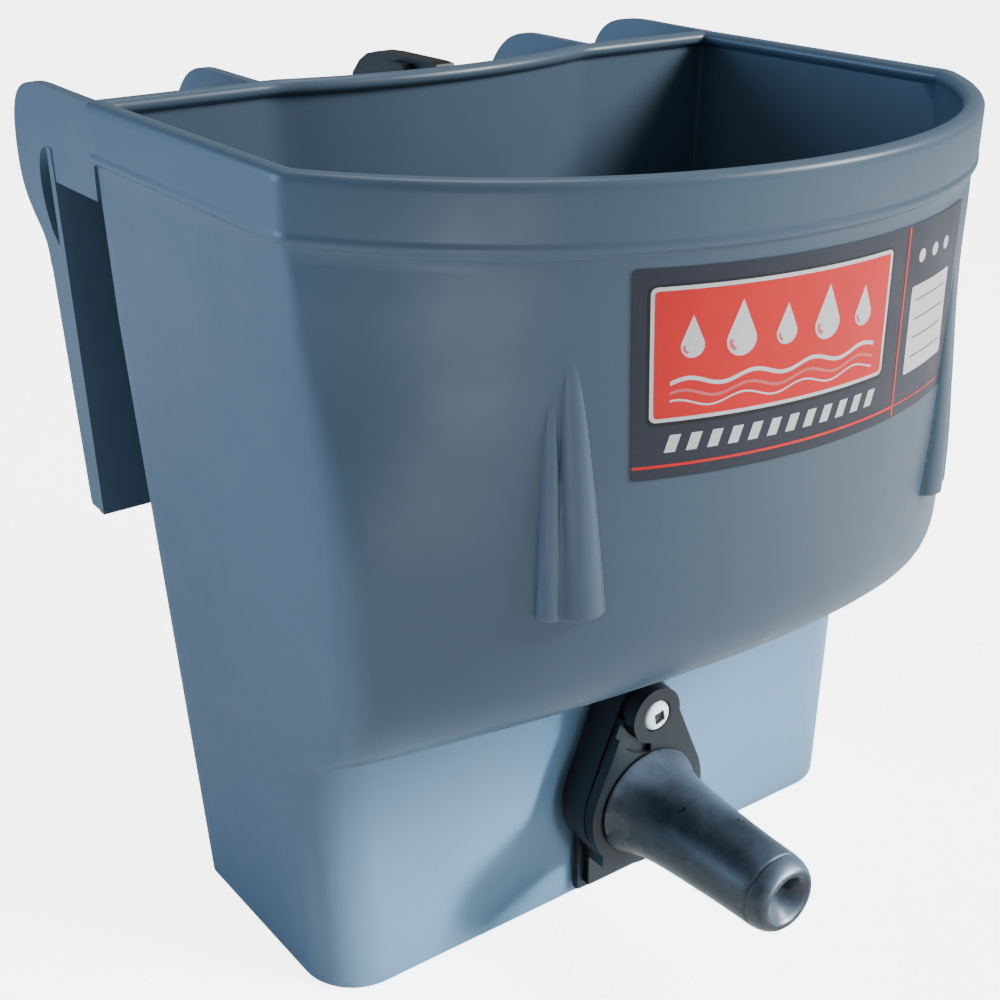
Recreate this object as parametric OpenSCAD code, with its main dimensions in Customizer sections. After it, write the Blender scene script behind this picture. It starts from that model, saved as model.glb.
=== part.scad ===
// Calf feeder bucket that hangs on a rail: a D-shaped moulded tub with a rim band,
// a rear rail hanger with four arch ribs and a spring latch, and a low front teat holder.
// Frame: the tub stands on z = 0, the teat points to -Y, the hanger is at +Y.

/* [Tub] */
// Outer width of the rim
rim_w = 280; // [270:1:290]
// Height of the rim above the base
rim_h = 306; // [300:1:312]
// Height of the rim band
band_h = 21; // [16:1:26]
// Wall thickness of the moulding
wall = 3.2; // [2.6:0.1:4]
// Radius of the curved front at the rim
front_r = 162; // [160:1:166]
// Length of the straight side at the rim
side_l = 132; // [128:1:136]
// Distance of the tub's front corners from the rear line, low down
corner_l = 149; // [144:0.5:152]
// Half width of the tub at the base
base_hw = 128; // [126:1:130]
// Distance of the low front face from the rear edge of the rim
low_front = 117.5; // [115:0.5:120]
// Rise of the sloped front floor per mm of depth
floor_slope = 0.5; // [0.45:0.01:0.6]
// Height of the lower edge of the curved front, at the middle
edge_z = 144; // [140:1:148]

/* [Rail hanger] */
// Clear depth of the rail gap, from the rim line to the tail plate
gap_d = 36; // [30:1:42]
// Height of the underside of the shelf that rests on the rail
seat_z = 272; // [268:1:276]
// Height of the lower edge of the tail plate
tail_z = 140; // [130:1:160]
// Thickness of the shelf and the tail plate
plate_t = 4; // [3:0.5:5]
// Distance of the two inner arch ribs from the middle
rib_x = 75; // [70:1:80]
// Thickness of an arch rib
rib_t = 3.6; // [3:0.2:5]

/* [Rail latch] */
// Width of the latch lever
lever_w = 8; // [7:0.5:10]
// Diameter of the latch pin
latch_pin_d = 5; // [4:0.5:6]

/* [Teat holder] */
// Height of the teat axis
teat_z = 47.5; // [45:0.5:50]
// Height of the pivot screw axis
pivot_z = 86.9; // [84:0.1:89]
// Diameter of the teat behind the tip
teat_d = 29; // [27:0.5:31]
// Length of the teat in front of the jaws
teat_l = 74; // [70:1:74]
// Thread diameter of the pivot screw
pivot_d = 6; // [5:0.5:7]

/* [Label] */
// Angle of the left edge of the label on the curved front
label_a0 = -24.5; // [-28:0.5:-20]
// Angle of the right edge of the label on the curved front
label_a1 = 28.4; // [26:0.1:30]

/* [Hidden] */
slate = [0.36, 0.42, 0.47];
black = [0.05, 0.05, 0.06];
yc = -side_l + sqrt(front_r*front_r - rim_w*rim_w/4);   // centre of the curved front
y0 = (front_r - yc - 72)/2;                             // puts the origin under the middle of the object
band_z = rim_h - band_h;
top_hw = rim_w/2 - 1.7;  // half width of the tub under the band
ka = (top_hw - base_hw)/band_z;
r_edge = 154.7;          // radius of the curved front at its lower edge
kr = 0.042;              // draft of the curved front
kb = 0.08;               // draft of the rear wall, up to the height where it meets the rim line
yb0 = -18.4;             // rear wall at the base
hang_in = 4.8;           // lean of the hanger's ends, from the rim down to the lower edge of the tail plate
bow_c = 66; bow_s = 12.7;                       // half chord and depth of the bowed rear wall
bow_r = (bow_c*bow_c + bow_s*bow_s)/(2*bow_s);
bow_z = 178;                                    // lower end of the bow
seat_t = seat_z + plate_t;
eps = 0.01;
lf = -low_front;
gasket_t = 1.5;
hs0 = lf - gasket_t;     // rear face of the holder housing
hs1 = -133;              // front face of the housing
jw0 = -133.3; jw1 = -138; jwm = -135.6;         // rear, front and middle planes of the jaws
hub_y = -141;            // front of the hub round the pivot screw
px_y = 18; px_z = 290;   // latch pin axis

function hw(z) = base_hw + ka*z;
function fr(z) = r_edge + (z - 150)*kr;
function yb(z) = min(0, yb0 + kb*z);

function apex(z) = yc - fr(z);                         // foremost point of the curved front
function cor(z) = -corner_l + 0.16*max(0, z - 190);             // corner between the side and the front
function dr(z) = (pow(hw(z), 2) + pow(cor(z) - apex(z), 2))/(2*(cor(z) - apex(z)));
function dc(z) = apex(z) + dr(z);                      // centre of the front's arc at height z
// distance of the front from (0, yc) along the direction q, at height z
function rho(q, z) = cos(q)*(yc - dc(z)) + sqrt(pow(dr(z), 2) - pow(sin(q)*(yc - dc(z)), 2));
// plan of the tub at height z, moved in by t
module dplan(z, t) {
  a = hw(z) - t; r = dr(z) - t; ang = asin(a/r); n = 44;
  polygon(concat([[a, yb(z) - t]], [[-a, yb(z) - t]],
    [for (i = [0:n]) let (q = -ang + 2*ang*i/n) [r*sin(q), dc(z) - r*cos(q)]]));
}
// plan of the low box at height z, moved in by t, with round front corners
module bplan(z, t, rc) {
  a = hw(z) - t - 0.04; f = low_front - t; r = max(rc - t, 3); n = 7; rb = max(5 - t, 2);
  polygon(concat(
    [for (i = [0:n]) let (q = 90*i/n) [-a + r - r*cos(q), -f + r - r*sin(q)]],
    [for (i = [0:n]) let (q = 90*i/n) [a - r + r*sin(q), -f + r - r*cos(q)]],
    [for (i = [0:3]) let (q = 90*i/3) [a - rb + rb*cos(q), yb(z) - t - rb + rb*sin(q)]],
    [for (i = [0:3]) let (q = 90*i/3) [-a + rb - rb*sin(q), yb(z) - t - rb + rb*cos(q)]]));
}
module slab(z, h = eps) { translate([0, 0, z]) linear_extrude(h) children(); }
// the D-shaped body from z 90 to z1, moved in by t
module dbody(z1, t) { hull() { slab(z1 - 1, 1) dplan(z1, t); slab(230, 1) dplan(230, t); slab(189, 1) dplan(190, t); slab(89, 1) dplan(90, t); } }
// the curved tub above the sloped front floor, moved in by t
module upper(z1, t) {
  difference() {
    dbody(z1, t);
    k = floor_slope; zf = edge_z + t*sqrt(1 + k*k);
    rotate([90, 0, 90]) linear_extrude(400, center = true)
      polygon([[60, zf - 260*k], [-300, zf + 100*k], [-300, -20], [60, -20]]);
  }
}
module lower(z0, z1, t, rc) {
  hull() { slab(z0, 0.3) bplan(z0, t + 2, rc); slab(z0 + 2, 0.3) bplan(z0 + 2, t, rc); slab(z1, 0.3) bplan(z1, t, rc); }
}
// the hollow of the bowed rear wall, grown by t
module bow(t) {
  intersection() {
    translate([0, bow_r - bow_s, 100]) cylinder(r = bow_r + t, h = 300, $fn = 180);
    translate([-100, -60, bow_z - t*1.4]) cube([200, 80, 300]);
    rotate([90, 0, 90]) linear_extrude(240, center = true)
      polygon([[20, bow_z - 24 - t*1.4], [-60, bow_z + 56 - t*1.4], [-60, 420], [20, 420]]);
  }
}
module outer_body() {
  difference() {
    union() { upper(rim_h, 0); lower(0, 118, 0, 22); }
    bow(0);
  }
}
module cavity() {
  difference() {
    union() { upper(rim_h + 2, wall); lower(wall, 118, wall, 22); }
    bow(wall);
  }
}
module ybore(x, z, ya, yb_, d) { translate([x, ya, z]) rotate([90, 0, 0]) cylinder(d = d, h = ya - yb_, $fn = 48); }

module bucket_shell() {
  color(slate) translate([0, y0, 0]) difference() {
    outer_body();
    cavity();
    ybore(0, teat_z, lf + 20, lf - 20, 28);
    ybore(0, pivot_z, lf + 20, lf - 6, pivot_d + 0.4);
    for (s = [-1, 1]) ybore(s*13, 14, lf + 20, lf - 20, 4.4);
  }
}

// plan of the rim at full width
module rimplan(t) {
  a = rim_w/2 - t; r = front_r - t; ang = asin(a/r); n = 44;
  polygon(concat([[a, -t], [-a, -t]],
    [for (i = [0:n]) let (q = -ang + 2*ang*i/n) [r*sin(q), yc - r*cos(q)]]));
}
module rim_band() {
  color(slate) translate([0, y0, 0]) difference() {
    translate([0, 0, band_z]) linear_extrude(band_h) rimplan(0);
    upper(rim_h + 4, 0);
    translate([0, bow_r - bow_s, 200]) cylinder(r = bow_r, h = 200, $fn = 180);
  }
}

// side profile of an arch rib in the y-z plane
module rib_profile(front) {
  difference() {
    polygon([[front, rim_h - 0.3], [40, rim_h - 0.3], [52, rim_h - 0.8], [60, rim_h - 3.5], [66, 297], [70.4, 288],
             [72, 276], [70.4, 266], [64, 257], [54, 245], [52, 233], [gap_d + plate_t + 9, tail_z],
             [gap_d + plate_t, tail_z], [gap_d + plate_t, 284], [gap_d, 284], [gap_d, seat_t], [front, seat_t]]);
    polygon([[gap_d + plate_t - 1, 247], [41.5, 247.5], [45.5, 251], [50, 259.5], [51.5, 270], [50, 277.5], [46, 282], [gap_d + plate_t - 1, 283.9]]);
  }
}
module rib(front) { rotate([90, 0, 90]) linear_extrude(rib_t, center = true) rib_profile(front); }
module hanger_ribs() {
  tilt = atan(hang_in/(rim_h - tail_z));
  color(slate) translate([0, y0, 0]) {
    for (s = [-1, 1]) translate([s*rib_x, 0, 0]) rib(0);
    for (s = [-1, 1]) translate([s*(rim_w/2 - rib_t/2 - 0.1), 0, rim_h]) rotate([0, s*tilt, 0]) translate([0, 0, -rim_h]) rib(0);
  }
}
module hanger_shelf() {
  sh = hw(seat_z) - 1.5;
  color(slate) translate([0, y0, 0]) difference() {
    translate([-sh, -20, seat_z]) cube([2*sh, 20 + gap_d, plate_t]);
    dbody(rim_h, 0);
    translate([-6.5, -20, seat_z - 1]) cube([13, 25, plate_t + 2]);
    for (s = [-1, 1]) translate([s*15, 26, seat_z - 1]) cylinder(d = 4.4, h = plate_t + 2, $fn = 40);
  }
  // the strip that fills the bow behind the rear wall, beside the latch slot
  color(slate) translate([0, y0, 0]) difference() {
    for (s = [-1, 1]) translate([s > 0 ? 6.5 : -66, -20, seat_z]) cube([59.5, 20 + yb(seat_z) + 0.6, plate_t]);
    difference() { translate([-90, -60, seat_z - 2]) cube([180, 90, plate_t + 4]); bow(0); }
  }
}
module hanger_tail() {
  h0 = rim_w/2 - hang_in - 0.2; h1 = rim_w/2 - 0.2 - (rim_h - 284)*hang_in/(rim_h - tail_z);
  color(slate) translate([0, y0 + gap_d + plate_t, 0]) rotate([90, 0, 0]) linear_extrude(plate_t)
    polygon([[-h0, tail_z], [h0, tail_z], [h1, 284], [-h1, 284]]);
}

// one lobe of the double flute on the curved front: a slim half cone that runs out upwards
module halfdisc(r, out) { linear_extrude(0.2) intersection() { translate([0, 1.1 - out]) circle(r = r, $fn = 32); translate([-30, -29.1]) square([60, 30]); } }
module lobe(ang, r, h, out) {
  zb = 177; rotate([0, 0, ang]) translate([0, -rho(ang, zb), zb]) rotate([atan((rho(ang, zb + h) - rho(ang, zb))/h), 0, 0])
    hull() { halfdisc(r, out); translate([0, 0, h*0.5]) halfdisc(r*0.72, out*0.6); translate([0, 0, h]) halfdisc(1.5, 0.2); }
}
module flute() { lobe(-29, 7.6, 79.5, -0.6); lobe(-32.7, 4.8, 66.5, -0.4); }
module front_flutes() {
  color(slate) translate([0, y0 + yc, 0]) { flute(); mirror([1, 0, 0]) flute(); }
}
module label_sheet() {
  z0 = 217; z1 = 280.8;
  color([0.16, 0.17, 0.22]) translate([0, y0, 0]) intersection() {
    difference() { dbody(rim_h, -0.55); dbody(rim_h + 1, -0.1); }
    translate([0, yc, z0]) linear_extrude(z1 - z0)
      polygon([[0, 0], [200*sin(label_a0), -200*cos(label_a0)], [0, -230], [200*sin(label_a1), -200*cos(label_a1)]]);
  }
}

// rail latch on the shelf, between the two inner ribs
module latch_bracket() {
  color(black) translate([0, y0, 0]) difference() {
    union() {
      translate([-22, 7, seat_t]) cube([44, 26, 3]);
      for (s = [-1, 1]) translate([s*(lever_w/2 + 2.4), 0, 0]) rotate([90, 0, 90]) linear_extrude(4, center = true)
        polygon([[7, seat_t + 1], [29, seat_t + 1], [27, 290], [25.6, 299], [23, 302.6], [19, 304], [9, 304], [7, 302]]);
    }
    translate([0, px_y, px_z]) rotate([0, 90, 0]) cylinder(d = latch_pin_d, h = 60, center = true, $fn = 48);
    translate([-lever_w/2 - 0.4, 0, seat_t - 1]) cube([lever_w + 0.8, 10.5, 30]);
    for (s = [-1, 1]) translate([s*15, 26, seat_t - 1]) cylinder(d = 4.4, h = 6, $fn = 40);
  }
}
module latch_lever() {
  color(black) translate([0, y0, 0]) difference() {
    rotate([90, 0, 90]) linear_extrude(lever_w, center = true) difference() {
      polygon([[-10, 303], [-8.6, 305.6], [-4, 306], [26, 306], [34, 305.6], [41, 304], [47, 300.6], [52, 295.6], [54.4, 290.4],
               [53.4, 287], [50, 287.6], [45, 291.5], [38, 292.6], [30, 291], [25.5, 285], [18, 282.6], [9, 284.5], [3, 281],
               [-0.6, 268], [-0.9, 242], [6.5, 238], [6.5, 233.5], [-0.6, 224.5], [-3.2, 226], [-5.2, 246], [-9, 288]]);
    }
    translate([0, px_y, px_z]) rotate([0, 90, 0]) cylinder(d = latch_pin_d + 0.12, h = 60, center = true, $fn = 48);
    // slot for the spring coil
    translate([-2, 10, 283.5]) cube([4, 16, 13]);
  }
}
module latch_pin() {
  color([0.75, 0.76, 0.78]) translate([0, y0 + px_y, px_z]) rotate([0, 90, 0]) difference() {
    cylinder(d = latch_pin_d, h = 23, center = true, $fn = 48);
    for (s = [-1, 1]) translate([0, 0, s*9.4]) difference() {
      cylinder(d = latch_pin_d + 1, h = 1.0, center = true, $fn = 48);
      cylinder(d = latch_pin_d - 1.2, h = 2, center = true, $fn = 48);
    }
  }
}
module pin_clips() {
  color([0.3, 0.3, 0.32]) translate([0, y0 + px_y, px_z]) for (s = [-1, 1]) translate([s*9.4, 0, 0]) rotate([0, 90, 0])
    difference() {
      cylinder(d = 10, h = 0.8, center = true, $fn = 40);
      cylinder(d = latch_pin_d - 1.1, h = 2, center = true, $fn = 40);
      translate([-1.6, 0, -1]) cube([3.2, 8, 2]);
    }
}
// torsion spring round the pin, in the slot of the lever
module latch_spring() {
  color([0.7, 0.71, 0.73]) translate([0, y0 + px_y, px_z]) rotate([0, 90, 0]) {
    for (i = [-1, 0, 1]) translate([0, 0, i*1.15]) rotate_extrude($fn = 40) translate([latch_pin_d/2 + 1.1, 0]) circle(d = 1, $fn = 16);
  }
}
module latch_screws() {
  color([0.75, 0.76, 0.78]) translate([0, y0, 0]) for (s = [-1, 1]) translate([s*15, 26, 0]) {
    translate([0, 0, seat_t + 3]) difference() {
      intersection() { cylinder(d = 8, h = 2.6, $fn = 40); translate([0, 0, -4.2]) sphere(r = 6.6, $fn = 40); }
      translate([0, 0, 1]) cylinder(d = 3, h = 3, $fn = 6);
    }
    translate([0, 0, seat_z - 6.6]) cylinder(d = 4, h = plate_t + 3 + 6.7, $fn = 40);
  }
}
module latch_nuts() {
  color([0.7, 0.71, 0.73]) translate([0, y0, 0]) for (s = [-1, 1]) translate([s*15, 26, seat_z - 4.4]) difference() {
    union() { cylinder(d = 8.1, h = 3.4, $fn = 6); translate([0, 0, 3.4]) cylinder(d = 9, h = 1, $fn = 40); }
    translate([0, 0, -1]) cylinder(d = 4, h = 8, $fn = 40);
  }
}

// outline of two circles on the middle line joined by their tangents
module drop(r1, z1, r2, z2) {
  q = asin((r2 - r1)/(z1 - z2));
  translate([0, z1]) circle(r = r1, $fn = 72);
  translate([0, z2]) circle(r = r2, $fn = 96);
  polygon([[r1*cos(q), z1 + r1*sin(q)], [-r1*cos(q), z1 + r1*sin(q)], [-r2*cos(q), z2 + r2*sin(q)], [r2*cos(q), z2 + r2*sin(q)]]);
}
module yplate(ya, yb_) { translate([0, ya, 0]) rotate([90, 0, 0]) linear_extrude(ya - yb_) children(); }
module holder_housing() {
  color(black) translate([0, y0, 0]) difference() {
    union() {
      yplate(hs0, hs1) { drop(11.8, pivot_z, 26.6, teat_z); translate([-17.5, 21]) square([35, 12]); }
      yplate(hs1 + 6.5, hs1) drop(12.4, pivot_z, 27.5, teat_z);
      yplate(hs0, lf - 4.3) translate([-20.5, 5]) square([41, 26]);
      yplate(hs0, lf - 7.2) translate([-17.5, 7.6]) square([35, 24]);
    }
    ybore(0, teat_z, hs1 + 12, hs1 - 1, 48.6);
    ybore(0, teat_z, hs0 + 1, hs1 - 1, 28);
    ybore(0, pivot_z, hs0 + 1, hs1 - 1, pivot_d);
    for (s = [-1, 1]) ybore(s*13, 14, hs0 + 1, lf - 6.1, 4);
  }
}
module holder_gasket() {
  color([0.1, 0.1, 0.1]) translate([0, y0, 0]) difference() {
    yplate(lf, hs0) { drop(11.3, pivot_z, 25.5, teat_z); translate([-18.5, 6.5]) square([37, 32]); }
    ybore(0, teat_z, lf + 1, hs0 - 1, 28);
    ybore(0, pivot_z, lf + 1, hs0 - 1, pivot_d);
    for (s = [-1, 1]) ybore(s*13, 14, lf + 1, hs0 - 1, 4.4);
  }
}
// outline of a jaw with the teat's hole, less the ring round the pivot
module jaw_plan(r1, rp) {
  difference() {
    drop(r1, pivot_z, 27.1, teat_z);
    translate([0, teat_z]) circle(r = 21.4, $fn = 96);
    translate([0, pivot_z]) circle(r = rp, $fn = 72);
  }
}
module jaw_left() {
  color(black) translate([0, y0, 0]) difference() {
    union() {
      yplate(jw0, jw1) intersection() { jaw_plan(11.4, 16.8); translate([-60, 0]) square([59.8, 120]); }
      yplate(jw0, jwm + 0.15) {
        intersection() { jaw_plan(11.4, 10.4); translate([-60, pivot_z - 17.6]) square([59.8, 17.6]); }
        translate([0, pivot_z]) circle(r = 10.6, $fn = 72);
      }
    }
    ybore(0, pivot_z, jw0 + 1, jw1 - 1, pivot_d + 0.12);
  }
}
module jaw_right() {
  color(black) translate([0, y0, 0]) difference() {
    union() {
      yplate(jw0, jw1) intersection() { jaw_plan(11.4, 17.2); translate([0.2, 0]) square([60, 120]); }
      yplate(jwm - 0.15, jw1) {
        intersection() { jaw_plan(11.4, 9); translate([0.2, pivot_z - 18]) square([60, 32]); }
        translate([0, pivot_z]) circle(r = 11.2, $fn = 72);
      }
      yplate(jw1 + 1, hub_y) translate([0, pivot_z]) circle(r = 11.2, $fn = 72);
    }
    ybore(0, pivot_z, jw0 + 1, hub_y - 3, pivot_d + 0.12);
    ybore(0, pivot_z, hub_y + 1.6, hub_y - 3, 13);
  }
}
module pivot_screw() {
  color([0.9, 0.9, 0.9]) translate([0, y0, 0]) difference() {
    union() {
      ybore(0, pivot_z, lf + 17, hub_y + 0.9, pivot_d);
      translate([0, hub_y + 0.95, pivot_z]) rotate([90, 0, 0]) intersection() {
        cylinder(d = 12, h = 3, $fn = 48); translate([0, 0, -7.8]) sphere(r = 10.2, $fn = 64);
      }
    }
    translate([0, hub_y + 0.4, pivot_z]) rotate([90, 45, 0]) cylinder(d = 6.4, h = 4, $fn = 4);
  }
}
module pivot_washer() {
  color([0.8, 0.8, 0.82]) translate([0, y0, 0]) difference() {
    ybore(0, pivot_z, hub_y + 1.45, hub_y + 0.95, 11.8);
    ybore(0, pivot_z, hub_y + 3, hub_y - 1, pivot_d);
  }
}
module backing_plate() {
  color([0.8, 0.8, 0.82]) translate([0, y0 + lf + wall, 0]) difference() {
    translate([0, 2, 0]) rotate([90, 0, 0]) linear_extrude(2)
      polygon([[-15, 24], [15, 24], [24, 33], [24, 62], [12, 98], [-12, 98], [-24, 62], [-24, 33]]);
    translate([0, 3, teat_z]) rotate([90, 0, 0]) cylinder(d = 28, h = 6, $fn = 64);
    translate([0, 3, pivot_z]) rotate([90, 0, 0]) cylinder(d = pivot_d, h = 6, $fn = 48);
  }
}
module pivot_nut() {
  color([0.7, 0.71, 0.73]) translate([0, y0 + lf + wall + 2, pivot_z]) rotate([-90, 0, 0]) difference() {
    union() { cylinder(d = 11.5, h = 5, $fn = 6); cylinder(d = 13, h = 1, $fn = 48); translate([0, 0, 5]) cylinder(d1 = 10, d2 = 9, h = 1.4, $fn = 48); }
    translate([0, 0, -1]) cylinder(d = pivot_d, h = 10, $fn = 48);
  }
}
module housing_screws() {
  color([0.75, 0.76, 0.78]) translate([0, y0, 0]) for (s = [-1, 1]) {
    ybore(s*13, 14, lf + wall, lf - 5.8, 4);
    translate([s*13, lf + wall, 14]) rotate([-90, 0, 0]) difference() {
      intersection() { cylinder(d = 8.4, h = 2.8, $fn = 40); translate([0, 0, -4]) sphere(r = 6.7, $fn = 40); }
      translate([0, 0, 1.2]) cylinder(d = 3, h = 3, $fn = 6);
    }
  }
}
// hollow rubber teat, turned about its own axis
module teat() {
  r = teat_d/2; l = teat_l; f = -jw1;        // f: front of the jaws
  color([0.06, 0.06, 0.07]) translate([0, y0, teat_z]) rotate([90, 0, 0]) rotate_extrude($fn = 96)
    polygon([[14.2, 121], [24, 121], [24, 132.8], [20.8, 132.8], [20.8, f + 0.3], [22.2, f + 0.4], [22.4, f + 1.2], [21.2, f + 3.2],
             [19.7, f + 6], [18.5, f + 10], [17.6, f + 16], [r + 1.6, f + 36], [r + 0.5, f + l - 15.4], [r + 0.1, f + l - 14.9], [r + 0.4, f + l - 14.4],
             [r, f + l - 7], [r - 0.7, f + l - 3.4], [r - 2.4, f + l - 1], [r - 4.6, f + l], [r - 6.4, f + l - 0.6], [r - 7.6, f + l - 2.6], [5.4, f + l - 7],
             [2, f + l - 9], [2, f + l - 13], [9.6, f + l - 17], [11.4, f + 18], [14.2, f + 8]]);
}

bucket_shell();
rim_band();
hanger_shelf();
hanger_tail();
hanger_ribs();
front_flutes();
label_sheet();
latch_bracket();
latch_lever();
latch_pin();
latch_spring();
latch_screws();
latch_nuts();
pin_clips();
holder_housing();
holder_gasket();
jaw_left();
jaw_right();
pivot_screw();
pivot_washer();
backing_plate();
pivot_nut();
housing_screws();
teat();
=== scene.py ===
import math
import bpy
import bmesh
import numpy as np
from mathutils import Matrix, Vector


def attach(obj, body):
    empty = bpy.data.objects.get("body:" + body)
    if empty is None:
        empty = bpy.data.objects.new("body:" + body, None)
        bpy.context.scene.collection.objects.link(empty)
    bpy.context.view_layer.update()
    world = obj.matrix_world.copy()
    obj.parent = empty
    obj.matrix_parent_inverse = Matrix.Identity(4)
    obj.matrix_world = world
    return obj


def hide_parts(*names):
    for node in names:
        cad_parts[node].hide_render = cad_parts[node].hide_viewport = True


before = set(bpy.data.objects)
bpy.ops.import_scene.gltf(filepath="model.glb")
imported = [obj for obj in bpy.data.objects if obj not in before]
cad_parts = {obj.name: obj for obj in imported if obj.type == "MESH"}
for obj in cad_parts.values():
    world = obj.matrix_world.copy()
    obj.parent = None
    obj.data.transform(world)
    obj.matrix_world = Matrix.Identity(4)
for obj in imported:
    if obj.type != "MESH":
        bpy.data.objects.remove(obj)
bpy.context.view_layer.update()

Y0 = 0.070245          # the rim's rear line lies at this y in the shared frame
MM = 0.001
YC = -132.0 + math.sqrt(162.0**2 - 140.0**2)   # centre of the curved front, mm behind the rear line
BAND_Z = 285.0
BASE_HW, TOP_HW = 128.0, 138.3
KA = (TOP_HW - BASE_HW) / BAND_Z
KR = 0.042


def hw(z):
    return BASE_HW + KA * z


def fr(z):
    return 154.7 + (z - 150.0) * KR


def yb(z):
    return min(0.0, -18.4 + 0.08 * z)


def corner_y(z):
    """Sharp corner between the side and the front, before it is rounded."""
    t = min(1.0, max(0.0, (z - 186.0) / 84.0))
    return -149.0 + 17.2 * t * t * (3 - 2 * t) * 0.9 + 0.16 * max(0.0, z - 270.0)


def front_arc(z):
    """Radius and centre y of the curved front at height z."""
    ap = YC - fr(z)
    d = corner_y(z) - ap
    r = (hw(z) ** 2 + d * d) / (2 * d)
    return r, ap + r


# ---------------------------------------------------------------- mesh helpers
def make(name, verts, faces, mats, body="tub", smooth=True, angle=38.0, face_mats=None):
    me = bpy.data.meshes.new(name)
    v = np.asarray(verts, float).copy()
    v[:, 1] += Y0 / MM
    me.from_pydata((v * MM).tolist(), [], [list(map(int, f)) for f in faces])
    me.update()
    me.validate()
    for m in mats:
        me.materials.append(m)
    if face_mats is not None:
        me.polygons.foreach_set("material_index", list(face_mats))
    ob = bpy.data.objects.new(name, me)
    bpy.context.scene.collection.objects.link(ob)
    if smooth:
        me.polygons.foreach_set("use_smooth", [True] * len(me.polygons))
        me.set_sharp_from_angle(angle=math.radians(angle))
    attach(ob, body)
    return ob


def grid_faces(nu, nv, close_u=False, flip=False):
    out = []
    for j in range(nv - 1):
        for i in range(nu if close_u else nu - 1):
            a = j * nu + i
            b = j * nu + (i + 1) % nu
            c = (j + 1) * nu + (i + 1) % nu
            d = (j + 1) * nu + i
            out.append((d, c, b, a) if flip else (a, b, c, d))
    return out


def recalc(ob):
    bm = bmesh.new()
    bm.from_mesh(ob.data)
    bmesh.ops.recalc_face_normals(bm, faces=bm.faces)
    bm.to_mesh(ob.data)
    bm.free()


def bevel(ob, width, segments=2, angle=35.0, dissolve=False):
    if dissolve:
        d = ob.modifiers.new("Flat", "DECIMATE")
        d.decimate_type = "DISSOLVE"
        d.angle_limit = math.radians(1.5)
    b = ob.modifiers.new("Edge", "BEVEL")
    b.width = width * MM
    b.segments = segments
    b.limit_method = "ANGLE"
    b.angle_limit = math.radians(angle)
    b.use_clamp_overlap = True
    b.harden_normals = False
    return b


def lathe(name, prof, axis_pt, axis, mats, body="tub", n=96, angle=38.0, warp=None, cap=True):
    """prof: (radius, distance along axis) in mm; axis_pt in mm in the rear-line frame."""
    axis = Vector(axis).normalized()
    side = axis.orthogonal().normalized()
    up = axis.cross(side)
    vs, fs = [], []
    for k, (r, d) in enumerate(prof):
        for i in range(n):
            a = 2 * math.pi * i / n
            rr = r if warp is None else warp(r, d, a, k)
            p = Vector(axis_pt) + axis * d + side * (rr * math.cos(a)) + up * (rr * math.sin(a))
            vs.append(p)
    fs = grid_faces(n, len(prof), close_u=True)
    if cap:
        if prof[0][0] > 1e-6:
            fs.append(tuple(range(n)))
        if prof[-1][0] > 1e-6:
            fs.append(tuple(reversed(range((len(prof) - 1) * n, len(prof) * n))))
    ob = make(name, vs, fs, mats, body=body, angle=angle)
    bm = bmesh.new()
    bm.from_mesh(ob.data)
    bmesh.ops.remove_doubles(bm, verts=bm.verts, dist=1e-7)
    bmesh.ops.recalc_face_normals(bm, faces=bm.faces)
    bm.to_mesh(ob.data)
    bm.free()
    return ob


def extrude_poly(name, outline, holes, axis, lo, hi, mats, body="tub", bev=0.5, segs=3, tilt=None):
    """outline and holes are closed 2D loops in mm; axis 'x' extrudes a (y, z) loop along x, axis 'y' an (x, z) loop along y, axis 'z' an (x, y) loop along z."""
    bm = bmesh.new()

    def place(p, t):
        if axis == "x":
            return Vector((t, p[0], p[1]))
        if axis == "y":
            return Vector((p[0], t, p[1]))
        return Vector((p[0], p[1], t))

    edges = []
    for loop in [outline] + list(holes):
        vs = [bm.verts.new(place(p, lo)) for p in loop]
        for i in range(len(vs)):
            edges.append(bm.edges.new((vs[i], vs[(i + 1) % len(vs)])))
    bmesh.ops.triangle_fill(bm, edges=edges, use_beauty=True, use_dissolve=False)
    bmesh.ops.dissolve_limit(bm, angle_limit=math.radians(0.5), verts=[], edges=[e for e in bm.edges if not e.is_boundary])
    faces = list(bm.faces)
    ext = bmesh.ops.extrude_face_region(bm, geom=faces)
    dv = place((0, 0), hi) - place((0, 0), lo)
    bmesh.ops.translate(bm, vec=dv, verts=[g for g in ext["geom"] if isinstance(g, bmesh.types.BMVert)])
    bmesh.ops.recalc_face_normals(bm, faces=bm.faces)
    if tilt is not None:
        bmesh.ops.transform(bm, matrix=tilt, verts=bm.verts)
    for v in bm.verts:
        v.co = Vector((v.co.x, v.co.y + Y0 / MM, v.co.z)) * MM
    for f in bm.faces:
        f.smooth = True
    me = bpy.data.meshes.new(name)
    bm.to_mesh(me)
    bm.free()
    for m in mats:
        me.materials.append(m)
    ob = bpy.data.objects.new(name, me)
    bpy.context.scene.collection.objects.link(ob)
    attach(ob, body)
    if bev:
        bevel(ob, bev, segs, 30.0)
    me.set_sharp_from_angle(angle=math.radians(40))
    return ob


def arc(cx, cy, r, a0, a1, n):
    return [(cx + r * math.cos(math.radians(a0 + (a1 - a0) * i / n)), cy + r * math.sin(math.radians(a0 + (a1 - a0) * i / n))) for i in range(n + 1)]


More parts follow.
